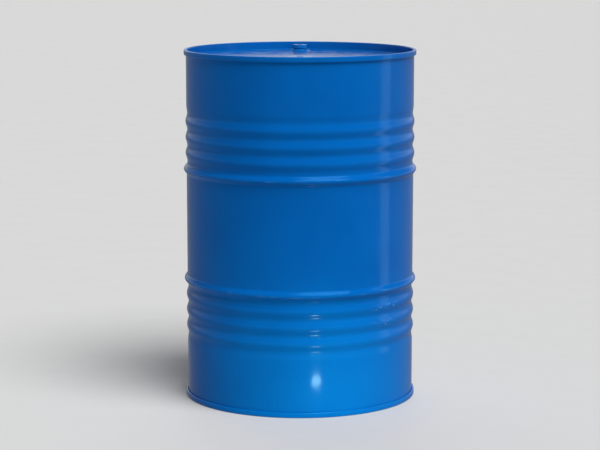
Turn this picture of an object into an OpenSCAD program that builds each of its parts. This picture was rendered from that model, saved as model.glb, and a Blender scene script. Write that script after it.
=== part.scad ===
// Tight-head steel drum, 216.5 litre pattern, standing upright on its bottom chime.
// Millimetres. Origin on the floor under the centre of the drum, +Z up.
// The large closure lies towards -Y, the front, and the small closure towards +Y.

/* [Drum] */
// Height over both chimes
drum_h = 880; // [870:1:900]
// Inside diameter of the body
body_id = 571.5; // [566:0.5:576]
// Thickness of the body sheet and of both head sheets
sheet_t = 1.0; // [0.9:0.05:1.0]

/* [Rolling hoops and beads] */
// Diameter over the two rolling hoops
hoop_od = 588; // [584:1:592]
// Width of a rolling hoop at its foot
hoop_w = 30; // [28:1:34]
// Height between the crests of the two rolling hoops
hoop_gap = 280; // [260:1:300]
// Height between neighbouring bead crests, and from a hoop to its first bead
bead_pitch = 40; // [36:1:42]
// Number of beads outside each rolling hoop
bead_count = 3; // [1:1:3]
// How far a bead's crest stands out of the plain body
bead_rise = 2.4; // [1:0.1:4]
// How far the groove beside a bead lies inside the plain body
bead_dip = 2.0; // [0:0.1:2]

/* [Chimes] */
// Height of the rolled seam
chime_h = 13.5; // [13.2:0.1:16]
// Space between neighbouring layers of the rolled seam
seam_gap = 0.1; // [0.08:0.01:0.1]
// Outside corner radius at the top of the rolled seam
chime_corner = 2.5; // [2.4:0.05:2.6]

/* [Heads] */
// Depth of the centre panel below the rim of the chime
panel_depth = 18; // [17:0.5:24]
// Depth of the gutter round the centre panel below the rim of the chime
gutter_depth = 22; // [21:0.5:28]
// Radius of the centre panel
panel_r = 252; // [250:1:258]

/* [Large closure] */
// Direction of the large closure from the drum's axis, in degrees
large_angle = -90; // [-180:15:0]
// Distance from the drum's axis to the large closure
large_dist = 208; // [195:1:209]
// Outside diameter of the large pipe thread
large_thread_d = 59.6; // [58:0.1:60]
// Width across flats of the large flange's octagonal base
large_base_w = 78; // [76:1:80]
// Length of the large plug below its head
large_plug_l = 17.5; // [14:0.5:20]

/* [Small closure] */
// Direction of the small closure from the drum's axis, in degrees
small_angle = 90; // [0:15:180]
// Distance from the drum's axis to the small closure
small_dist = 222; // [200:1:224]
// Outside diameter of the small pipe thread
small_thread_d = 26.4; // [25:0.1:27]
// Width across flats of the small flange's octagonal base
small_base_w = 46; // [44:1:48]
// Length of the small plug below its head
small_plug_l = 16.5; // [14:0.5:20]

/* [Closure fittings] */
// Wall between the thread and the outside of the flange's neck
neck_wall = 3.2; // [3:0.1:4]
// Thickness of the flange's octagonal base
base_t = 3; // [2:0.5:4]
// Height of the octagonal boss pressed up out of the head
boss_h = 3; // [2.5:0.5:3]
// Height of the head's collar above its boss
collar_h = 5; // [4:0.5:5]
// Thickness of the flange's rim, which is rolled over the collar
rim_t = 1.2; // [1:0.1:1.5]
// Thickness of the gasket under the boss
flange_gasket_t = 1.5; // [1:0.1:1.5]
// Thickness of the gasket under the plug's head
plug_gasket_t = 1.7; // [1:0.1:2]
// Thickness of the plug's head
plug_head_t = 2.0; // [1.5:0.1:2]
// Wall of the plug's cup
plug_wall = 2.2; // [2:0.1:2.5]
// Thickness of the cap seal's sheet
cap_t = 0.5; // [0.4:0.1:0.6]
// Thickness of the liner inside the cap seal
liner_t = 0.6; // [0.4:0.1:0.8]

/* [Hidden] */
$fn = 96;
PAINT = "#0259a6";
ZINC = "#c9cbc6";
RUBBER = "#202022";
COMPOUND = "#8b8f86";
CAP = "#0f63ad";
LINER = "#e6e2d6";

// Clearance of a tight fit, clearance of a loose fit, and the overlap of shapes that merge or cut
fit = 0.05;
slip = 0.25;
bite = 1;

// Longest step along the body's waves, and largest step round an arc in degrees
profile_step = 4;
arc_step = 18;

mid_z = drum_h / 2;
panel_z = drum_h - panel_depth;
body_r = body_id / 2 + sheet_t;
hoop_rise = hoop_od / 2 - body_r;

// Radius of the fillet under the chime's inner wall, and of the step down from the panel
countersink_r = 5;
step_r = 3;

// The rolled seam has seven layers a pitch apart: head, body, head, body, head, body, head.
layer_pitch = sheet_t + seam_gap;
seam_r0 = body_id / 2 - seam_gap - sheet_t;
land_r = (layer_r(0) + layer_r(6)) / 2;
corner_mid_r = chime_corner - sheet_t / 2;
fold_r = layer_pitch;

// Heights in the rolled seam: the hooks stop short of its top, and the head's hook laps the body's
hook_room = 1.6;
hook_lap = 1.4;
hook_top = -(2 * layer_pitch + sheet_t + hook_room);
curl_z = -(chime_h - 2 * layer_pitch - sheet_t / 2);
hook_end = curl_z + hook_lap;

// Section of the ring of compound above the hooks
compound_t = 0.7;
compound_w = 2.4;

// How far the flange's rim reaches over the collar, and the plug's head over its gasket
rim_reach = 0.6;
plug_head_reach = 0.4;
// How far the gasket under the boss and the liner stop short of their neighbours' edges
gasket_inset = 0.6;
liner_inset = 0.3;
// How far the wrench lugs stay under the plug's head, and how far the cap seal's skirt covers the collar
lug_drop = 5;
skirt_lap = 2.5;

// Heights above the head's centre panel
boss_under = boss_h - sheet_t;
base_top = boss_under - flange_gasket_t;
collar_top = boss_h + collar_h;
rim_top = collar_top + fit + rim_t;
gasket_top = rim_top + fit + plug_gasket_t;
head_bottom = gasket_top + fit;
head_top = head_bottom + plug_head_t;
liner_top = head_top + fit + liner_t;
cap_top = liner_top + fit + cap_t;
cap_skirt_end = collar_top - skirt_lap;

// A closure is [direction, distance, thread diameter, base width, plug length].
LARGE = [large_angle, large_dist, large_thread_d, large_base_w, large_plug_l];
SMALL = [small_angle, small_dist, small_thread_d, small_base_w, small_plug_l];
function direction(c) = c[0];
function distance(c) = c[1];
function thread_r(c) = c[2] / 2;
function base_w(c) = c[3];
function plug_l(c) = c[4];
function neck_r(c) = thread_r(c) + neck_wall;
function rim_r(c) = neck_r(c) + sheet_t + fit + rim_reach;
function cup_r(c) = thread_r(c) - fit - plug_wall;

// ---- Outlines: a sheet's section is a path down the middle of the sheet ----

function reversed(p) = [for (i = [len(p) - 1:-1:0]) p[i]];

function arc(centre, r, from, to) =
    let (n = ceil(abs(to - from) / arc_step))
    [for (i = [0:n]) let (a = from + (to - from) * i / n) centre + r * [cos(a), sin(a)]];

function left_of(p, i) =
    let (d = p[min(i + 1, len(p) - 1)] - p[max(i - 1, 0)])
    [-d.y, d.x] / norm(d);

function beside(p, s) = [for (i = [0:len(p) - 1]) p[i] + s * left_of(p, i)];

module revolved_sheet(path) {
    rotate_extrude()
        polygon(concat(beside(path, sheet_t / 2), reversed(beside(path, -sheet_t / 2))));
}

module tube(r_out, r_in, h) {
    difference() {
        cylinder(r = r_out, h = h);
        translate([0, 0, -bite]) cylinder(r = r_in, h = h + 2 * bite);
    }
}

module octagon(across_flats, h) {
    rotate(180 / 8) cylinder(r = across_flats / 2 / cos(180 / 8), h = h, $fn = 8);
}

// ---- Rolled seam, in heights below the rim ----

function layer_r(k) = seam_r0 + sheet_t / 2 + k * layer_pitch;

// The body's edge turns out and down, then in and up between the head's layers.
function body_seam() = concat(
    arc([layer_r(0) + corner_mid_r, -chime_corner], corner_mid_r - layer_pitch, 180, 90),
    arc([layer_r(6) - corner_mid_r, -chime_corner], corner_mid_r - layer_pitch, 90, 0),
    arc([layer_r(4), curl_z], fold_r, 0, -180),
    [[layer_r(3), hook_top - seam_gap]]
);

// The head's edge goes over the body's edge, under it, up inside it and down again as a hook.
function head_seam() = concat(
    arc([layer_r(0) + corner_mid_r, -chime_corner], corner_mid_r, 180, 90),
    arc([layer_r(6) - corner_mid_r, -chime_corner], corner_mid_r, 90, 0),
    arc([layer_r(4), curl_z], 2 * fold_r, 0, -180),
    arc([layer_r(3), hook_top], fold_r, 180, 0),
    [[layer_r(4), hook_end]]
);

// ---- Body ----

// Turning points of the body's outline, [height from the middle, distance from the plain body].
function body_turns() =
    let (h = hoop_gap / 2, w = hoop_w / 2, q = bead_pitch / 2)
    concat(
        [[h - w, 0], [h, hoop_rise], [h + w, -bead_dip], [h + q, -bead_dip]],
        [for (i = [1:bead_count], k = [0, 1])
            [h + i * bead_pitch + k * q, k == 0 ? bead_rise : -bead_dip]],
        [[h + (bead_count + 1) * bead_pitch, 0]]
    );

// Each stretch between two turning points is half a cosine wave.
function wave(a, b) =
    let (n = round((b.x - a.x) / profile_step))
    [for (i = [1:n]) [a.x + (b.x - a.x) * i / n, a.y + (b.y - a.y) * (1 - cos(180 * i / n)) / 2]];

function upper_half() =
    let (turns = body_turns())
    concat([turns[0]], [for (i = [1:len(turns) - 1]) each wave(turns[i - 1], turns[i])]);

function body_path() =
    let (
        half = [for (p = upper_half()) [layer_r(1) + p.y, p.x]],
        seam = [for (p = body_seam()) [p.x, mid_z + p.y]],
        top = concat(half, seam)
    )
    concat(reversed([for (p = top) [p.x, mid_z - p.y]]), [for (p = top) [p.x, mid_z + p.y]]);

module body_shell() {
    color(PAINT) revolved_sheet(body_path());
}

// ---- Heads ----

function head_path() =
    let (
        panel = -panel_depth - sheet_t / 2,
        gutter = -gutter_depth - sheet_t / 2,
        turn = acos(1 - (panel - gutter) / (2 * step_r))
    )
    concat(
        [[0, panel]],
        arc([panel_r, panel - step_r], step_r, 90, 90 - turn),
        arc([panel_r + 2 * step_r * sin(turn), gutter + step_r], step_r, 270 - turn, 270),
        arc([layer_r(0) - countersink_r, gutter + countersink_r], countersink_r, -90, 0),
        head_seam()
    );

module head_blank() {
    revolved_sheet([for (p = head_path()) [p.x, drum_h + p.y]]);
}

module at_closure(c) {
    rotate(direction(c)) translate([distance(c), 0, panel_z]) children();
}

module boss(c) {
    translate([0, 0, -sheet_t]) octagon(base_w(c) + 2 * slip + 2 * sheet_t, boss_h + sheet_t);
    cylinder(r = neck_r(c) + fit + sheet_t, h = collar_top);
}

module boss_cavity(c) {
    translate([0, 0, -sheet_t - bite]) octagon(base_w(c) + 2 * slip, boss_h + bite);
    cylinder(r = neck_r(c) + fit, h = collar_top + bite);
}

module top_head() {
    color(PAINT) difference() {
        union() {
            head_blank();
            for (c = [LARGE, SMALL]) at_closure(c) boss(c);
        }
        for (c = [LARGE, SMALL]) at_closure(c) boss_cavity(c);
    }
}

module bottom_head() {
    color(PAINT) translate([0, 0, drum_h]) mirror([0, 0, 1]) head_blank();
}

module seam_compound() {
    translate([0, 0, -2 * layer_pitch - compound_t])
        tube(land_r + compound_w / 2, land_r - compound_w / 2, compound_t);
}

module top_seam_compound() {
    color(COMPOUND) translate([0, 0, drum_h]) seam_compound();
}

module bottom_seam_compound() {
    color(COMPOUND) mirror([0, 0, 1]) seam_compound();
}

// ---- Closures: plain cylinders stand for the pipe threads ----

module flange(c) {
    bore_h = rim_top - base_top + base_t + 2 * bite;
    color(ZINC) at_closure(c) difference() {
        union() {
            translate([0, 0, base_top - base_t]) octagon(base_w(c), base_t);
            translate([0, 0, base_top - bite]) cylinder(r = neck_r(c), h = rim_top - base_top + bite);
            translate([0, 0, rim_top - rim_t]) cylinder(r = rim_r(c), h = rim_t);
        }
        translate([0, 0, base_top - base_t - bite]) cylinder(r = thread_r(c), h = bore_h);
    }
}

module flange_gasket(c) {
    color(RUBBER) at_closure(c) translate([0, 0, base_top])
        tube(base_w(c) / 2 - gasket_inset, neck_r(c) + fit, flange_gasket_t);
}

// The plug is a cup, with two lugs inside it for the bung wrench.
module plug(c) {
    bottom = head_bottom - plug_l(c);
    lug_w = cup_r(c) / 3;
    color(ZINC) at_closure(c) {
        difference() {
            union() {
                translate([0, 0, bottom]) cylinder(r = thread_r(c) - fit, h = plug_l(c) + plug_head_t);
                translate([0, 0, head_bottom]) cylinder(r = neck_r(c) + plug_head_reach, h = plug_head_t);
            }
            translate([0, 0, bottom + plug_wall]) cylinder(r = cup_r(c), h = 2 * plug_l(c));
        }
        intersection() {
            translate([0, 0, bottom + bite]) cylinder(r = cup_r(c) + bite / 2, h = plug_l(c) - lug_drop);
            for (side = [-1, 1])
                translate([side * (cup_r(c) - lug_w / 2 + bite / 2), 0, bottom + plug_l(c) / 2])
                    cube([lug_w + bite, lug_w, plug_l(c)], center = true);
        }
    }
}

module plug_gasket(c) {
    color(RUBBER) at_closure(c) translate([0, 0, rim_top + fit])
        tube(neck_r(c), thread_r(c) + slip, plug_gasket_t);
}

// The cap seal is a cup upside down over the plug and the flange's rim, with a pull tab.
module cap_seal(c) {
    r_in = rim_r(c) + slip;
    tab_w = r_in / 4;
    color(CAP) at_closure(c) {
        difference() {
            translate([0, 0, cap_skirt_end]) cylinder(r = r_in + cap_t, h = cap_top - cap_skirt_end);
            translate([0, 0, cap_skirt_end - bite])
                cylinder(r = r_in, h = cap_top - cap_t - cap_skirt_end + bite);
        }
        translate([0, 0, cap_top]) intersection() {
            cylinder(r = r_in - bite, h = cap_t);
            union() {
                translate([r_in / 2, 0, cap_t / 2]) cube([r_in, tab_w, cap_t], center = true);
                cylinder(r = tab_w, h = cap_t);
            }
        }
    }
}

module cap_liner(c) {
    color(LINER) at_closure(c) translate([0, 0, head_top + fit])
        cylinder(r = rim_r(c) - liner_inset, h = liner_t);
}

body_shell();
top_head();
bottom_head();
top_seam_compound();
bottom_seam_compound();
flange(LARGE);  // flange_2in
flange_gasket(LARGE);  // flange_gasket_2in
plug(LARGE);  // plug_2in
plug_gasket(LARGE);  // plug_gasket_2in
cap_seal(LARGE);  // cap_seal_2in
cap_liner(LARGE);  // cap_liner_2in
flange(SMALL);  // flange_3_4in
flange_gasket(SMALL);  // flange_gasket_3_4in
plug(SMALL);  // plug_3_4in
plug_gasket(SMALL);  // plug_gasket_3_4in
cap_seal(SMALL);  // cap_seal_3_4in
cap_liner(SMALL);  // cap_liner_3_4in
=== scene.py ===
"""A blue tight-head steel drum with two threaded closures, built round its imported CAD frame."""

import math

import bmesh
import bpy
from mathutils import Matrix, Vector, geometry, noise


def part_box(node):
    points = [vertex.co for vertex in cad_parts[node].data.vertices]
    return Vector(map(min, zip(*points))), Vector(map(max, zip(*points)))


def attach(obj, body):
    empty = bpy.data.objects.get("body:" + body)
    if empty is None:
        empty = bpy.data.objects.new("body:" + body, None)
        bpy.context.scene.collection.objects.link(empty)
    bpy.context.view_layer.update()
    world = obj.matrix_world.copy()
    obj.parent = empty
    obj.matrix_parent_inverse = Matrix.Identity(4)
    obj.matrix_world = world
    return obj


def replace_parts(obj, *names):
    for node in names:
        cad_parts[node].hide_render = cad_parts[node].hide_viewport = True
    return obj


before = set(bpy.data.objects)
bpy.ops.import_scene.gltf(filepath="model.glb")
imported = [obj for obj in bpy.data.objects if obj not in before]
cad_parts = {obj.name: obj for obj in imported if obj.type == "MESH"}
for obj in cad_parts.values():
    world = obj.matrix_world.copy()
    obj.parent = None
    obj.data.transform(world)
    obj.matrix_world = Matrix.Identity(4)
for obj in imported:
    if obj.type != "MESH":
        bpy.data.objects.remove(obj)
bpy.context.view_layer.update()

MM = 0.001
TAU = 2 * math.pi

# ---- Sizes, in metres, read from the frame where it holds them ----

DRUM_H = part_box("top_head")[1].z
MID_Z = DRUM_H / 2
CHIME_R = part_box("top_head")[1].x
HOOP_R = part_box("body_shell")[1].x
SHEET = 1.0 * MM

# Rolled seam: seven layers of sheet, made by the hooked edges of body and head
SEAM_GAP = 0.1 * MM
LAYER = SHEET + SEAM_GAP
SEAM_R0 = CHIME_R - 6 * LAYER - SHEET
BODY_R = SEAM_R0 + LAYER + SHEET
CHIME_H = 13.5 * MM
CHIME_CORNER = 2.5 * MM
CORNER_MID_R = CHIME_CORNER - SHEET / 2
CURL_Z = -(CHIME_H - 2 * LAYER - SHEET / 2)
HOOK_ROOM = 1.6 * MM
HOOK_LAP = 1.4 * MM
HOOK_TOP = -(2 * LAYER + SHEET + HOOK_ROOM)

# Rolling hoops and beads
HOOP_GAP = 280 * MM
HOOP_W = 30 * MM
BEAD_PITCH = 40 * MM
BEAD_COUNT = 3
BEAD_RISE = 2.4 * MM
BEAD_DIP = 2.0 * MM

# Weld seam down the back, and the unevenness of the sheet, which both fade out towards the chimes
WELD_ANGLE = math.radians(90)
WELD_W = 6.0 * MM
WELD_H = 0.5 * MM
WAVE_H = 0.28 * MM
CHIME_ZONE = 20 * MM
FADE_H = 60 * MM

# Heads
PANEL_Z = DRUM_H - 18 * MM
GUTTER_Z = DRUM_H - 22 * MM
PANEL_R = 252 * MM
STEP_R = 3 * MM
COUNTERSINK_R = 5 * MM
BOSS_H = 3 * MM
BOSS_ROOM = 1.0 * MM
BOSS_SLOPE = 2.0 * MM
BOSS_FILLET = 1.6 * MM
COLLAR_H = 5 * MM

# Closures
FIT = 0.05 * MM
SLIP = 0.25 * MM
NECK_WALL = 3.2 * MM
BASE_T = 3 * MM
BASE_EDGE = 0.5 * MM
RIM_T = 1.2 * MM
BASE_GASKET_T = 1.5 * MM
GASKET_INSET = 0.6 * MM
PLUG_HEAD_T = 2.0 * MM
PLUG_WALL = 2.6 * MM
PLUG_FLOOR_T = 2.2 * MM
PLUG_EDGE = 0.8 * MM
CAP_T = 0.5 * MM
LINER_T = 0.6 * MM
LINER_INSET = 0.3 * MM
THREAD_DEPTH = 0.6403   # share of the pitch, for a 55 degree pipe thread
THREAD_FLAT = 0.1       # share of half a pitch that stays flat on a crest and in a root
THREAD_PLAY = 0.1 * MM

# Columns of faces round each kind of piece, and the largest step of an arc
ROUND = 232
THREAD_ROUND = 72
FITTING_ROUND = 96
CAP_ROUND = 128
ARC_STEP = math.radians(15)


class Closure:
    """One threaded closure: sizes in metres, heights above the head's centre panel."""

    def __init__(self, size, threads_per_inch):
        low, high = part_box("flange_" + size)
        gasket_low, gasket_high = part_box("plug_gasket_" + size)
        plug_low, plug_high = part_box("plug_" + size)
        cap_low, cap_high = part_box("cap_seal_" + size)
        self.size = size
        self.centre = Vector(((low.x + high.x) / 2, (low.y + high.y) / 2, PANEL_Z))
        self.direction = math.atan2(self.centre.y, self.centre.x)
        self.base_w = high.x - low.x
        self.neck_r = (gasket_high.x - gasket_low.x) / 2
        self.thread_r = self.neck_r - NECK_WALL
        self.pitch = 25.4 * MM / threads_per_inch
        self.base_z = low.z - PANEL_Z
        self.rim_z = high.z - PANEL_Z
        self.gasket_z = (gasket_low.z - PANEL_Z, gasket_high.z - PANEL_Z)
        self.plug_z = (plug_low.z - PANEL_Z, plug_high.z - PANEL_Z)
        self.plug_head_r = (plug_high.x - plug_low.x) / 2
        self.cap_z = (cap_low.z - PANEL_Z, cap_high.z - PANEL_Z)
        self.cap_r = (cap_high.x - cap_low.x) / 2
        self.rim_r = self.cap_r - CAP_T - SLIP


CLOSURES = [Closure("2in", 11), Closure("3_4in", 14)]


# ---- Outlines ----

def arc(centre, radius, start, end):
    """Points (r, z) on an arc, with angles in degrees."""
    start, end = math.radians(start), math.radians(end)
    n = max(1, math.ceil(abs(end - start) / ARC_STEP))
    angles = [start + (end - start) * i / n for i in range(n + 1)]
    return [(centre[0] + radius * math.cos(a), centre[1] + radius * math.sin(a)) for a in angles]


def rounded(corners):
    """A closed outline through (r, z, radius) corners, each rounded to its radius."""
    points = []
    for i, (x, z, radius) in enumerate(corners):
        here = Vector((x, z))
        before = Vector(corners[i - 1][:2]) - here
        after = Vector(corners[(i + 1) % len(corners)][:2]) - here
        if radius == 0 or before.length == 0 or after.length == 0:
            points.append((x, z))
            continue
        half = before.angle(after) / 2
        cut = min(radius / math.tan(half), 0.49 * before.length, 0.49 * after.length)
        a = here + before.normalized() * cut
        b = here + after.normalized() * cut
        for k in range(5):
            t = k / 4
            points.append(tuple((1 - t) ** 2 * a + 2 * t * (1 - t) * here + t * t * b))
    return points


def layer_r(k):
    """Radius of the middle of the rolled seam's layer k, counted from inside."""
    return SEAM_R0 + SHEET / 2 + k * LAYER


def body_seam():
    """The body's edge inside the rolled seam, in heights from the rim."""
    return [
        *arc((layer_r(0) + CORNER_MID_R, -CHIME_CORNER), CORNER_MID_R - LAYER, 180, 90),
        *arc((layer_r(6) - CORNER_MID_R, -CHIME_CORNER), CORNER_MID_R - LAYER, 90, 0),
        *arc((layer_r(4), CURL_Z), LAYER, 0, -180),
        (layer_r(3), HOOK_TOP - SEAM_GAP),
    ]


def head_seam():
    """The head's edge, which goes over the body's edge, under it, up inside it and down again."""
    return [
        *arc((layer_r(0) + CORNER_MID_R, -CHIME_CORNER), CORNER_MID_R, 180, 90),
        *arc((layer_r(6) - CORNER_MID_R, -CHIME_CORNER), CORNER_MID_R, 90, 0),
        *arc((layer_r(4), CURL_Z), 2 * LAYER, 0, -180),
        *arc((layer_r(3), HOOK_TOP), LAYER, 180, 0),
        (layer_r(4), CURL_Z + HOOK_LAP),
    ]


def body_turns():
    """Turning points of the body's outline above the middle: (height, distance from the plain body)."""
    hoop, foot, quarter = HOOP_GAP / 2, HOOP_W / 2, BEAD_PITCH / 2
    rise = HOOP_R - (layer_r(1) + SHEET / 2)
    turns = [(hoop - foot, 0), (hoop, rise), (hoop + foot, -BEAD_DIP), (hoop + quarter, -BEAD_DIP)]
    for i in range(1, BEAD_COUNT + 1):
        crest = hoop + i * BEAD_PITCH
        turns += [(crest, BEAD_RISE), (crest + quarter, -BEAD_DIP)]
    return turns + [(hoop + (BEAD_COUNT + 1) * BEAD_PITCH, 0)]


def body_half():
    """The upper half of the body's middle line as (r, height above the middle).

    Each stretch between two turning points is half a cosine wave, with more steps where it is steeper."""
    points = [(layer_r(1), h * MM) for h in (0, 30, 60, 90)]
    turns = body_turns()
    points.append((layer_r(1), turns[0][0]))
    for (z0, d0), (z1, d1) in zip(turns, turns[1:]):
        steps = 3 + round(0.75 * abs(d1 - d0) / MM)
        for i in range(1, steps + 1):
            t = i / steps
            blend = (1 - math.cos(math.pi * t)) / 2
            points.append((layer_r(1) + d0 + (d1 - d0) * blend, z0 + (z1 - z0) * t))
    top = MID_Z - CHIME_CORNER
    end = turns[-1][0]
    points += [(layer_r(1), end + (top - end) * t) for t in (0.2, 0.4, 0.6, 0.8, 0.93)]
    return points + [(r, MID_Z + z) for r, z in body_seam()]


def head_rim_path():
    """The head's middle line from the edge of the centre panel outwards, in heights above the floor."""
    panel, gutter = PANEL_Z - SHEET / 2, GUTTER_Z - SHEET / 2
    turn = math.degrees(math.acos(1 - (panel - gutter) / (2 * STEP_R)))
    run = 2 * STEP_R * math.sin(math.radians(turn))
    return [
        *arc((PANEL_R, panel - STEP_R), STEP_R, 90, 90 - turn),
        *arc((PANEL_R + run, gutter + STEP_R), STEP_R, 270 - turn, 270),
        *arc((layer_r(0) - COUNTERSINK_R, gutter + COUNTERSINK_R), COUNTERSINK_R, -90, 0),
        *[(r, DRUM_H + z) for r, z in head_seam()],
    ]


# ---- Meshes ----

def add_object(name, bm, smooth_angle=40):
    """Turns a bmesh into an object with smooth faces and sharp creases."""
    bmesh.ops.recalc_face_normals(bm, faces=bm.faces)
    mesh = bpy.data.meshes.new(name)
    bm.to_mesh(mesh)
    bm.free()
    mesh.polygons.foreach_set("use_smooth", [True] * len(mesh.polygons))
    mesh.set_sharp_from_angle(angle=math.radians(smooth_angle))
    obj = bpy.data.objects.new(name, mesh)
    bpy.context.scene.collection.objects.link(obj)
    return obj


def thicken(obj, thickness):
    """Gives a sheet's middle surface its thickness, half to each side."""
    solidify = obj.modifiers.new("sheet", "SOLIDIFY")
    solidify.thickness = thickness
    solidify.offset = 0
    solidify.use_even_offset = False
    return obj


def bridge(bm, rings, closed=False):
    """Joins neighbouring rings of vertices with quads."""
    pairs = list(zip(rings, rings[1:]))
    if closed:
        pairs.append((rings[-1], rings[0]))
    for low, high in pairs:
        n = len(low)
        for i in range(n):
            j = (i + 1) % n
            bm.faces.new((low[i], low[j], high[j], high[i]))


def circle_angles(n):
    return [TAU * i / n for i in range(n)]


def ring(bm, centre, radius, z, angles):
    """A ring of vertices; radius is a number or a function of the angle."""
    at = radius if callable(radius) else lambda _: radius
    return [
        bm.verts.new((centre.x + at(a) * math.cos(a), centre.y + at(a) * math.sin(a), centre.z + z))
        for a in angles
    ]


def lathe(bm, centre, outline, n):
    """A closed outline of (r, z) turned about a vertical axis through centre."""
    angles = circle_angles(n)
    on_axis = [i for i, (r, _) in enumerate(outline) if r < 1e-6]
    rings = []
    for i, (r, z) in enumerate(outline):
        if i in on_axis:
            tip = bm.verts.new((centre.x, centre.y, centre.z + z))
            rings.append([tip] * n)
        else:
            rings.append(ring(bm, centre, r, z, angles))
    for low, high in zip(rings, rings[1:] + rings[:1]):
        for i in range(n):
            j = (i + 1) % n
            corners = list(dict.fromkeys((low[i], low[j], high[j], high[i])))
            if len(corners) > 2:
                bm.faces.new(corners)


def octagon(apothem):
    """Radius of an octagon with rounded corners, as a function of the angle."""
    power = 26
    axes = [math.radians(45 * k) for k in range(4)]

    def radius(a):
        total = sum(abs(math.cos(a - axis)) ** power for axis in axes)
        return apothem / total ** (1 / power)

    return radius


# ---- Materials ----

class Nodes:
    """A short way to write a material's nodes."""

    def __init__(self, name):
        self.material = bpy.data.materials.new(name)
        self.material.use_nodes = True
        self.tree = self.material.node_tree
        self.shader = self.tree.nodes["Principled BSDF"]
        self.coords = self.tree.nodes.new("ShaderNodeTexCoord").outputs["Object"]

    def link(self, a, b):
        self.tree.links.new(a, b)

    def noise(self, scale, detail=2.0, roughness=0.5, vector=None):
        node = self.tree.nodes.new("ShaderNodeTexNoise")
        node.inputs["Scale"].default_value = scale
        node.inputs["Detail"].default_value = detail
        node.inputs["Roughness"].default_value = roughness
        self.link(vector or self.coords, node.inputs["Vector"])
        return node.outputs["Fac"]

    def stretch(self, scale):
        node = self.tree.nodes.new("ShaderNodeMapping")
        node.inputs["Scale"].default_value = scale
        self.link(self.coords, node.inputs["Vector"])
        return node.outputs["Vector"]

    def ramp(self, value, low, high, to_low=0.0, to_high=1.0):
        node = self.tree.nodes.new("ShaderNodeMapRange")
        node.interpolation_type = "SMOOTHSTEP"
        for key, number in (("From Min", low), ("From Max", high), ("To Min", to_low), ("To Max", to_high)):
            node.inputs[key].default_value = number
        self.link(value, node.inputs["Value"])
        return node.outputs["Result"]

    def math(self, operation, a, b):
        node = self.tree.nodes.new("ShaderNodeMath")
        node.operation = operation
        for socket, value in zip(node.inputs, (a, b)):
            if isinstance(value, (int, float)):
                socket.default_value = value
            else:
                self.link(value, socket)
        return node.outputs[0]

    def mix(self, factor, a, b):
        node = self.tree.nodes.new("ShaderNodeMix")
        node.data_type = "RGBA"
        self.link(factor, node.inputs["Factor"])
        for key, value in (("A", a), ("B", b)):
            socket = next(s for s in node.inputs if s.name == key and s.type == "RGBA")
            if isinstance(value, tuple):
                socket.default_value = (*value, 1)
            else:
                self.link(value, socket)
        return next(s for s in node.outputs if s.type == "RGBA")

    def radius(self):
        """Distance from the drum's axis."""
        flat = self.tree.nodes.new("ShaderNodeVectorMath")
        flat.operation = "MULTIPLY"
        flat.inputs[1].default_value = (1, 1, 0)
        self.link(self.coords, flat.inputs[0])
        length = self.tree.nodes.new("ShaderNodeVectorMath")
        length.operation = "LENGTH"
        self.link(flat.outputs["Vector"], length.inputs[0])
        return length.outputs["Value"]

    def height(self):
        node = self.tree.nodes.new("ShaderNodeSeparateXYZ")
        self.link(self.coords, node.inputs[0])
        return node.outputs["Z"]

    def distance(self, place):
        """Distance from a point on the drum."""
        node = self.tree.nodes.new("ShaderNodeVectorMath")
        node.operation = "DISTANCE"
        node.inputs[1].default_value = place
        self.link(self.coords, node.inputs[0])
        return node.outputs["Value"]

    def bump(self, height, distance, strength=1.0, before=None):
        node = self.tree.nodes.new("ShaderNodeBump")
        node.inputs["Strength"].default_value = strength
        node.inputs["Distance"].default_value = distance
        self.link(height, node.inputs["Height"])
        if before is not None:
            self.link(before, node.inputs["Normal"])
        return node.outputs["Normal"]

    def finish(self, color=None, roughness=None, normal=None, **fixed):
        for key, value in (("Base Color", color), ("Roughness", roughness), ("Normal", normal)):
            if value is not None:
                self.link(value, self.shader.inputs[key])
        for key, value in fixed.items():
            self.shader.inputs[key.replace("_", " ")].default_value = value
        return self.material


BLUE = (0.0006, 0.105, 0.4)
BLUE_DEEP = (0.0004, 0.094, 0.37)
BLUE_SCUFF = (0.1, 0.27, 0.52)

# Middle of a knock on the beads under the lower hoop, at the front right
KNOCK = (0.74 * BODY_R, -0.67 * BODY_R, MID_Z - HOOP_GAP / 2 - 1.5 * BEAD_PITCH)


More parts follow.
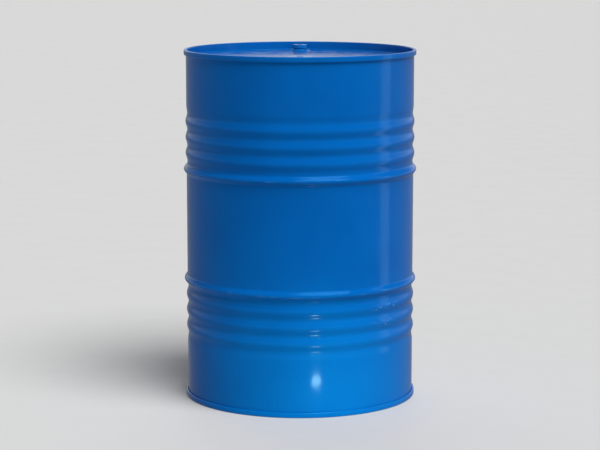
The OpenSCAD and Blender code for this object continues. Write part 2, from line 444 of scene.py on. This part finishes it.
def paint(name, light=BLUE, deep=BLUE_DEEP, worn=True):
    """Glossy stoved enamel with orange peel over slightly uneven sheet.

    Worn enamel is rubbed on the hoops and rims, and chipped round KNOCK."""
    n = Nodes(name)
    tone = n.mix(n.ramp(n.noise(5.0, 3.0), 0.35, 0.65), deep, light)
    roughness = n.ramp(n.noise(22.0, 4.0), 0.3, 0.7, 0.1, 0.18)
    uneven = n.bump(n.noise(7.0, 1.0), 0.0012, 0.35)
    peel = n.bump(n.noise(420.0, 2.0), 0.00006, 0.5, uneven)
    color = tone
    if worn:
        proud = n.ramp(n.radius(), HOOP_R - 1.6 * MM, HOOP_R - 0.2 * MM)
        streaks = n.ramp(n.noise(1.0, 5.0, 0.65, n.stretch((26, 26, 420))), 0.56, 0.7)
        knock = n.ramp(n.distance(KNOCK), 60 * MM, 20 * MM, 0.0, 0.7)
        crest = n.ramp(n.radius(), BODY_R - 0.4 * MM, BODY_R + BEAD_RISE)
        chips = n.ramp(n.noise(1.0, 4.0, 0.6, n.stretch((90, 90, 240))), 0.56, 0.62)
        chips = n.math("MULTIPLY", chips, n.math("MULTIPLY", knock, crest))
        from_middle = n.math("ABSOLUTE", n.math("SUBTRACT", n.height(), MID_Z), 0)
        rim = n.ramp(from_middle, MID_Z - 1.4 * MM, MID_Z - 0.2 * MM)
        rubbed = n.math("MULTIPLY", n.math("MAXIMUM", proud, rim), n.math("MULTIPLY", streaks, 0.5))
        scuff = n.math("MAXIMUM", rubbed, chips)
        color = n.mix(scuff, tone, BLUE_SCUFF)
        roughness = n.math("ADD", roughness, n.math("MULTIPLY", scuff, 0.25))
    return n.finish(color, roughness, peel, Specular_IOR_Level=0.35, Specular_Tint=(0.1, 0.55, 1.0, 1))


def zinc(name):
    """Bright zinc plate with a faintly mottled passivation."""
    n = Nodes(name)
    color = n.mix(n.ramp(n.noise(160.0, 4.0), 0.35, 0.65), (0.5, 0.52, 0.51), (0.63, 0.64, 0.61))
    roughness = n.ramp(n.noise(300.0, 3.0), 0.3, 0.7, 0.36, 0.5)
    normal = n.bump(n.noise(900.0, 2.0), 0.00003, 0.4)
    return n.finish(color, roughness, normal, Metallic=1.0)


def rubber(name, light, dark):
    """Moulded elastomer with a fine matt skin."""
    n = Nodes(name)
    color = n.mix(n.ramp(n.noise(240.0, 3.0), 0.4, 0.6), dark, light)
    roughness = n.ramp(n.noise(500.0), 0.3, 0.7, 0.55, 0.72)
    normal = n.bump(n.noise(1600.0, 2.0), 0.00004, 0.5)
    return n.finish(color, roughness, normal)


def board(name):
    """Foamed liner board with short pale fibres."""
    n = Nodes(name)
    fibres = n.noise(1.0, 4.0, 0.6, n.stretch((900, 260, 260)))
    color = n.mix(n.ramp(fibres, 0.35, 0.65), (0.66, 0.63, 0.54), (0.84, 0.82, 0.74))
    normal = n.bump(fibres, 0.00005, 0.5)
    return n.finish(color, n.ramp(fibres, 0.3, 0.7, 0.75, 0.9), normal)


def floor_material():
    n = Nodes("floor")
    return n.finish(None, n.ramp(n.noise(8.0), 0.3, 0.7, 0.6, 0.7), Base_Color=(0.53, 0.53, 0.528, 1))


# ---- Drum ----

WELD_HALF = WELD_W / 2 / layer_r(1)


def drum_angles():
    """Even columns, with more of them across the weld seam."""
    even = [a for a in circle_angles(ROUND) if abs(a - WELD_ANGLE) > WELD_HALF]
    return sorted(even + [WELD_ANGLE + WELD_HALF * k / 6 for k in range(-6, 7)])


def sheet_detail(a, z):
    """How far the body sheet stands out at an angle and height: weld seam and slight waviness."""
    across = (a - WELD_ANGLE) / WELD_HALF
    weld = WELD_H * max(0.0, 1 - across * across) ** 0.5
    fade = min(1.0, max(0.0, (MID_Z - abs(z - MID_Z) - CHIME_ZONE) / FADE_H))
    where = Vector((2.2 * math.cos(a), 2.2 * math.sin(a), 5.0 * z))
    return (weld + WAVE_H * noise.noise(where)) * fade


def drum_body(material):
    half = body_half()
    path = [(r, MID_Z - z) for r, z in reversed(half[1:])] + [(r, MID_Z + z) for r, z in half]
    angles = drum_angles()
    crest_r = HOOP_R - SHEET / 2
    bm = bmesh.new()
    rings = []
    for r, z in path:
        in_chime = abs(z - MID_Z) > MID_Z - CHIME_ZONE
        at = r if in_chime else lambda a, r=r, z=z: min(crest_r, r + sheet_detail(a, z))
        rings.append(ring(bm, Vector((0, 0, z)), at, 0, angles))
    bridge(bm, rings)
    obj = thicken(add_object("drum_body", bm), SHEET)
    obj.data.materials.append(material)
    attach(obj, "drum")
    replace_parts(obj, "body_shell")


def panel_faces(bm, edge, bosses, spacing=16 * MM):
    """Fills the flat panel inside edge, round the bosses, with an even net of triangles."""
    verts = list(edge)
    borders = [(0, len(edge))]
    for border, _, _ in bosses:
        borders.append((len(verts), len(border)))
        verts += border
    fixed = [(start + i, start + (i + 1) % n) for start, n in borders for i in range(n)]

    def clear(p, gap):
        """Whether p lies further than gap outside every boss."""
        away = [(p - centre.xy, radius) for _, centre, radius in bosses]
        return all(d.length > radius(math.atan2(d.y, d.x)) + gap for d, radius in away)

    z = edge[0].co.z
    verts.append(bm.verts.new((0, 0, z)))
    for k in range(1, int(PANEL_R / spacing)):
        r = k * spacing
        count = round(TAU * r / spacing)
        for i in range(count):
            a = TAU * (i + 0.5 * (k % 2)) / count
            p = Vector((r * math.cos(a), r * math.sin(a)))
            if clear(p, spacing / 3):
                verts.append(bm.verts.new((p.x, p.y, z)))
    flat = [v.co.xy.copy() for v in verts]
    triangles = geometry.delaunay_2d_cdt(flat, fixed, [], 0, 1e-7)[2]
    for tri in triangles:
        middle = sum((flat[i] for i in tri), Vector((0, 0))) / 3
        if clear(middle, 0):
            bm.faces.new([verts[i] for i in tri])


def boss_rings(bm, c):
    """The head round a closure: octagonal boss, then a collar up the flange's neck.

    Returns the border that the flat panel meets, its centre, and its radius at an angle."""
    angles = circle_angles(FITTING_ROUND)
    mid = -SHEET / 2
    top = BOSS_H + mid
    apothem = c.base_w / 2 + BOSS_ROOM
    collar_r = c.neck_r + FIT + SHEET / 2
    rings = []
    for t in (0.0, 0.15, 0.35, 0.5, 0.65, 0.85, 1.0):
        rise = mid + (top - mid) * (1 - math.cos(math.pi * t)) / 2
        rings.append(ring(bm, c.centre, octagon(apothem + BOSS_SLOPE * (1 - t)), rise, angles))
    reach = collar_r + BOSS_FILLET
    rings.append(ring(bm, c.centre, lambda a: (octagon(apothem)(a) + reach) / 2, top, angles))
    for r, z in arc((reach, top + BOSS_FILLET), BOSS_FILLET, -90, -180):
        rings.append(ring(bm, c.centre, r, z, angles))
    rings.append(ring(bm, c.centre, collar_r, BOSS_H + COLLAR_H, angles))
    bridge(bm, rings)
    return rings[0], c.centre, octagon(apothem + BOSS_SLOPE)


def head(name, material, closures, upside_down=False):
    """A countersunk head with its seam edge, and a boss for each closure."""
    bm = bmesh.new()
    origin = Vector((0, 0, 0))
    angles = circle_angles(ROUND)
    rings = [ring(bm, origin, r, z, angles) for r, z in head_rim_path()]
    bridge(bm, rings)
    panel_faces(bm, rings[0], [boss_rings(bm, c) for c in closures])
    if upside_down:
        for v in bm.verts:
            v.co.z = DRUM_H - v.co.z
    obj = thicken(add_object(name, bm), SHEET)
    obj.data.materials.append(material)
    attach(obj, "drum")
    return obj


# ---- Closures ----

def thread_wave(turns):
    """A pipe thread's rounded crests and roots: 1 on a crest, 0 in a root."""
    t = (abs((turns % 1) * 2 - 1) - THREAD_FLAT) / (1 - 2 * THREAD_FLAT)
    return (1 - math.cos(math.pi * min(1, max(0, t)))) / 2


def threaded_wall(bm, c, angles, z0, z1, offset, fade_low, fade_high, plain):
    """Rings of a right-hand thread from z0 to z1.

    fade_low and fade_high are how far from z0 and z1 the thread runs out to the plain radius."""
    rows = max(8, round(abs(z1 - z0) / c.pitch * 9))
    depth = THREAD_DEPTH * c.pitch
    rings = []
    for i in range(rows + 1):
        z = z0 + (z1 - z0) * i / rows
        share = 1.0
        if fade_low:
            share = min(share, abs(z - z0) / fade_low)
        if fade_high:
            share = min(share, abs(z1 - z) / fade_high)

        def at(a, z=z, share=share):
            cut = depth * (1 - thread_wave(z / c.pitch - a / TAU))
            threaded = c.thread_r + offset - cut
            return plain + (threaded - plain) * share

        rings.append(ring(bm, c.centre, at, z, angles))
    return rings


def ride_as(obj, material, body, node):
    """Gives a piece its material and lets it stand for a CAD node on its body."""
    obj.data.materials.append(material)
    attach(obj, body)
    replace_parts(obj, node)


def flange(c, material):
    """Octagonal base under the head, a neck through the collar, and a rim rolled over it."""
    bm = bmesh.new()
    angles = circle_angles(THREAD_ROUND)
    half = c.base_w / 2
    base_top = c.base_z + BASE_T
    bore = c.thread_r - THREAD_DEPTH * c.pitch
    chamfer = 0.8 * MM
    root = 0.6 * MM
    edge = RIM_T / 2
    outside = [
        (bore + chamfer, c.base_z), (octagon(half - BASE_EDGE), c.base_z),
        (octagon(half), c.base_z + BASE_EDGE), (octagon(half), base_top - BASE_EDGE),
        (octagon(half - BASE_EDGE), base_top), (c.neck_r + root, base_top),
        (c.neck_r, base_top + root), (c.neck_r, c.rim_z - RIM_T),
    ]
    rim = arc((c.rim_r - edge, c.rim_z - edge), edge, -90, 90)
    rings = [ring(bm, c.centre, r, z, angles) for r, z in outside + rim]
    rings.append(ring(bm, c.centre, c.thread_r + edge, c.rim_z, angles))
    rings += threaded_wall(bm, c, angles, c.rim_z - edge, c.base_z + chamfer, THREAD_PLAY,
                           1.2 * MM, 0, c.thread_r + THREAD_PLAY)
    bridge(bm, rings, closed=True)
    obj = add_object("threaded_flange_" + c.size, bm)
    ride_as(obj, material, "drum", "flange_" + c.size)


def plug(c, material):
    """A cup with a round head, a pipe thread outside and two wrench lugs inside."""
    bm = bmesh.new()
    angles = circle_angles(THREAD_ROUND)
    low, high = c.plug_z
    under = high - PLUG_HEAD_T
    root = c.thread_r - THREAD_PLAY - THREAD_DEPTH * c.pitch
    cup_r = c.thread_r - FIT - PLUG_WALL
    floor_z = low + PLUG_FLOOR_T
    floor_r = 2 * MM
    lower_edge = 0.3 * MM
    edge = arc((c.plug_head_r - PLUG_EDGE, high - PLUG_EDGE), PLUG_EDGE, 90, 0)
    top = [(cup_r + PLUG_EDGE, high), *edge, (c.plug_head_r, under + lower_edge),
           (c.plug_head_r - lower_edge, under), (c.thread_r - FIT, under)]
    rings = [ring(bm, c.centre, r, z, angles) for r, z in top]
    rings += threaded_wall(bm, c, angles, under - 1.8 * MM, low + PLUG_EDGE, -THREAD_PLAY,
                           1.5 * MM, 1.2 * MM, root)
    rings.append(ring(bm, c.centre, root - PLUG_EDGE, low, angles))
    bridge(bm, rings)
    bm.faces.new(rings[-1])
    inner = [ring(bm, c.centre, r, z, angles)
             for r, z in arc((cup_r - floor_r, floor_z + floor_r), floor_r, -90, 0)]
    inner.append(ring(bm, c.centre, cup_r, high - PLUG_EDGE, angles))
    inner.append(rings[0])
    bridge(bm, inner)
    bm.faces.new(inner[0])
    add_lugs(bm, c, cup_r, floor_z)
    obj = add_object("screw_plug_" + c.size, bm)
    ride_as(obj, material, "plug_" + c.size, "plug_" + c.size)


def outwards(c):
    """Turns a shape made along +X to point away from the drum's axis, and puts it on the closure."""
    return Matrix.Translation(c.centre) @ Matrix.Rotation(c.direction, 4, "Z")


def add_lugs(bm, c, cup_r, floor_z):
    """Two rounded blocks inside the plug's cup, which a bung wrench turns."""
    size = cup_r / 3
    height = 0.55 * (c.plug_z[1] - floor_z)
    bite = 0.3 * MM
    for side in (-1, 1):
        block = bmesh.ops.create_cube(bm, size=1)["verts"]
        bmesh.ops.scale(bm, verts=block, vec=(size + 2 * bite, size, height + 2 * bite))
        shift = Vector((side * (cup_r - size / 2 + 0.1 * MM), 0, floor_z + height / 2 - bite))
        bmesh.ops.translate(bm, verts=block, vec=shift)
        bmesh.ops.transform(bm, verts=block, matrix=outwards(c))
        edges = list({e for v in block for e in v.link_edges})
        bmesh.ops.bevel(bm, geom=edges, offset=0.12 * size, segments=3, affect="EDGES", profile=0.5)


def gasket(c, name, r_in, r_out, z0, z1, material, body, node):
    """A flat ring with rounded edges."""
    bm = bmesh.new()
    edge = 0.4 * MM
    corners = [(r_in, z0, edge), (r_out, z0, edge), (r_out, z1, edge), (r_in, z1, edge)]
    lathe(bm, c.centre, rounded(corners), FITTING_ROUND)
    ride_as(add_object(name + c.size, bm), material, body, node + c.size)


def liner(c, material):
    """A thin disc between the plug's head and the cap seal."""
    bm = bmesh.new()
    low = c.plug_z[1] + FIT
    high = low + LINER_T
    r = c.rim_r - LINER_INSET
    edge = 0.15 * MM
    outline = rounded([(0, low, 0), (r, low, edge), (r, high, edge), (0, high, 0)])
    lathe(bm, c.centre, outline, FITTING_ROUND)
    obj = add_object("seal_liner_" + c.size, bm)
    ride_as(obj, material, "seal_" + c.size, "cap_liner_" + c.size)


def cap_seal(c, material):
    """A thin pressed cap with a rolled edge, a scored ring and a pull tab."""
    bm = bmesh.new()
    z0, top = c.cap_z[0], c.cap_z[1] - CAP_T
    r = c.cap_r
    wall_r = r - 0.15 * MM
    score_r, score_half, score_depth = 0.72 * r, 0.7 * MM, 0.22 * MM
    soft = 0.2 * MM
    outer = [
        (r - CAP_T, z0, 0), (r, z0, soft), (r, z0 + 1.2 * MM, 0), (wall_r, z0 + 1.6 * MM, 0),
        (wall_r, top, 1.3 * MM), (score_r + score_half, top, soft),
        (score_r, top - score_depth, soft), (score_r - score_half, top, soft), (0, top, 0),
    ]
    inner = [(0, top - CAP_T, 0), (wall_r - CAP_T, top - CAP_T, 0.8 * MM),
             (wall_r - CAP_T, z0 + 1.7 * MM, 0)]
    lathe(bm, c.centre, rounded(outer + inner), CAP_ROUND)
    obj = add_object("tear_cap_" + c.size, bm)
    ride_as(obj, material, "seal_" + c.size, "cap_seal_" + c.size)
    tab = pull_tab(c, top)
    tab.data.materials.append(material)
    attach(tab, "seal_" + c.size)


def pull_tab(c, top):
    """A flat ring at the cap's middle on a strip that runs to the scored ring."""
    ring_r, hole_r, strip = 0.25 * c.cap_r, 0.15 * c.cap_r, 0.07 * c.cap_r
    end = 0.74 * c.cap_r
    edge = 0.1 * MM
    meet = math.asin(strip / ring_r)
    outline = [(end, -strip * 1.5), (end, strip * 1.5)]
    outline += [(ring_r * math.cos(a), ring_r * math.sin(a))
                for a in [meet + (TAU - 2 * meet) * i / 40 for i in range(41)]]
    hole = [(hole_r * math.cos(a), hole_r * math.sin(a)) for a in circle_angles(32)]
    curve = bpy.data.curves.new("pull_tab", "CURVE")
    curve.dimensions = "2D"
    curve.fill_mode = "BOTH"
    curve.extrude = CAP_T / 2 - 1.2 * edge
    curve.bevel_depth = edge
    curve.bevel_resolution = 2
    for points in (outline, hole):
        spline = curve.splines.new("POLY")
        spline.points.add(len(points) - 1)
        for point, (x, y) in zip(spline.points, points):
            point.co = (x, y, 0, 1)
        spline.use_cyclic_u = True
    holder = bpy.data.objects.new("pull_tab_curve", curve)
    bpy.context.scene.collection.objects.link(holder)
    bpy.context.view_layer.update()
    mesh = bpy.data.meshes.new_from_object(holder.evaluated_get(bpy.context.evaluated_depsgraph_get()))
    bpy.data.objects.remove(holder)
    bm = bmesh.new()
    bm.from_mesh(mesh)
    bmesh.ops.remove_doubles(bm, verts=bm.verts, dist=1e-6)
    bmesh.ops.translate(bm, verts=bm.verts, vec=Vector((0, 0, top + CAP_T / 2)))
    bmesh.ops.transform(bm, verts=bm.verts, matrix=outwards(c))
    return add_object("pull_tab_" + c.size, bm, 30)


# ---- Stage ----

def make_camera():
    """The photograph's viewpoint: in front of the drum, looking slightly down over its rim."""
    distance = 5.2
    eye_height = DRUM_H + 0.355
    camera = bpy.data.objects.new("camera", bpy.data.cameras.new("camera"))
    bpy.context.scene.collection.objects.link(camera)
    camera.location = (0, -distance, eye_height)
    target = Vector((0, 0, MID_Z - 0.008))
    camera.rotation_euler = (target - camera.location).to_track_quat("-Z", "Y").to_euler()
    camera.data.sensor_width = 36
    camera.data.lens = 124
    bpy.context.scene.camera = camera


def add_light(kind, name, place, target, power, **settings):
    light = bpy.data.objects.new(name, bpy.data.lights.new(name, kind))
    bpy.context.scene.collection.objects.link(light)
    light.data.energy = power
    for key, value in settings.items():
        setattr(light.data, key, value)
    light.location = place
    light.rotation_euler = (Vector(target) - light.location).to_track_quat("-Z", "Y").to_euler()
    light.visible_camera = False
    return light


def studio_world():
    """A pale backdrop along the horizon that darkens upwards, and darker below for reflections."""
    world = bpy.data.worlds.new("studio")
    world.use_nodes = True
    nodes, links = world.node_tree.nodes, world.node_tree.links
    split = nodes.new("ShaderNodeSeparateXYZ")
    links.new(nodes.new("ShaderNodeTexCoord").outputs["Generated"], split.inputs[0])

    def fade(low, high, to_low, to_high):
        node = nodes.new("ShaderNodeMapRange")
        node.interpolation_type = "SMOOTHSTEP"
        for key, number in (("From Min", low), ("From Max", high), ("To Min", to_low), ("To Max", to_high)):
            node.inputs[key].default_value = number
        links.new(split.outputs["Z"], node.inputs["Value"])
        return node.outputs["Result"]

    both = nodes.new("ShaderNodeMath")
    both.operation = "MULTIPLY"
    links.new(fade(0.08, 0.4, 0.62, 0.07), both.inputs[0])
    links.new(fade(-0.04, 0.04, 0.4, 1.0), both.inputs[1])
    links.new(both.outputs[0], nodes["Background"].inputs["Strength"])
    nodes["Background"].inputs["Color"].default_value = (0.97, 0.98, 1.0, 1)
    return world


def light_all_but(obj, lights):
    """Keeps lights that are meant for the drum alone off obj."""
    unlit = bpy.data.collections.new("unlit")
    unlit.objects.link(obj)
    unlit.collection_objects[0].light_linking.link_state = "EXCLUDE"
    for light in lights:
        light.light_linking.receiver_collection = unlit


def make_stage():
    bm = bmesh.new()
    bmesh.ops.create_circle(bm, cap_ends=True, segments=128, radius=60)
    floor = add_object("floor", bm)
    floor.data.materials.append(floor_material())
    floor.visible_glossy = False
    bpy.context.scene.world = studio_world()
    bpy.context.scene.view_settings.view_transform = "Standard"
    overhead, overhead_angle = (1.8, -2.5, 5.1), math.radians(40)
    soft = add_light("SUN", "overhead_soft", overhead, (0, 0, 0), 2.9, angle=overhead_angle)
    soft.visible_glossy = False
    add_light("SUN", "overhead_shine", overhead, (0, 0, 0), 1.2, angle=overhead_angle)
    add_light("SUN", "behind", (-0.4, 3.0, 2.6), (0, 0, 0), 0.5, angle=math.radians(60))
    strip = add_light("AREA", "side_strip", (1.15, -0.1, 0.75), (0, 0, 0.6), 1.1,
                      shape="RECTANGLE", size=0.25, size_y=1.5)
    glow = add_light("AREA", "low_front", (0.4, -1.3, 0.1), (0.06, -0.28, 0.03), 0.55,
                     shape="RECTANGLE", size=0.4, size_y=0.08, spread=math.radians(36), color=(1, 1, 0.62))
    glow.visible_glossy = False
    glint = add_light("AREA", "floor_glint", (0.115, -0.54, 0.03), (0.07, -0.28, 0.06), 0.35,
                      shape="ELLIPSE", size=0.07, size_y=0.03, color=(1, 0.4, 0.25))
    glint.visible_diffuse = False
    light_all_but(floor, [strip, glow, glint])


# ---- Build ----

make_camera()
make_stage()
blue = paint("blue_paint")
cap_blue = paint("cap_lacquer", (0.004, 0.13, 0.43), (0.003, 0.115, 0.4), worn=False)
plate = zinc("zinc_plate")
black = rubber("black_rubber", (0.024, 0.024, 0.026), (0.014, 0.014, 0.015))
compound = rubber("seam_compound", (0.28, 0.29, 0.26), (0.22, 0.23, 0.21))
card = board("liner_board")

drum_body(blue)
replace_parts(head("drum_top_head", blue, CLOSURES), "top_head")
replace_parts(head("drum_bottom_head", blue, [], upside_down=True), "bottom_head")
for end in ("top", "bottom"):
    ring_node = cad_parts[end + "_seam_compound"]
    ring_node.data.materials.clear()
    ring_node.data.materials.append(compound)
for c in CLOSURES:
    flange(c, plate)
    plug(c, plate)
    gasket(c, "base_gasket_", c.neck_r + FIT, c.base_w / 2 - GASKET_INSET,
           c.base_z + BASE_T, c.base_z + BASE_T + BASE_GASKET_T, black, "drum", "flange_gasket_")
    gasket(c, "head_gasket_", c.thread_r + SLIP, c.neck_r,
           *c.gasket_z, black, "rise_" + c.size, "plug_gasket_")
    liner(c, card)
    cap_seal(c, cap_blue)
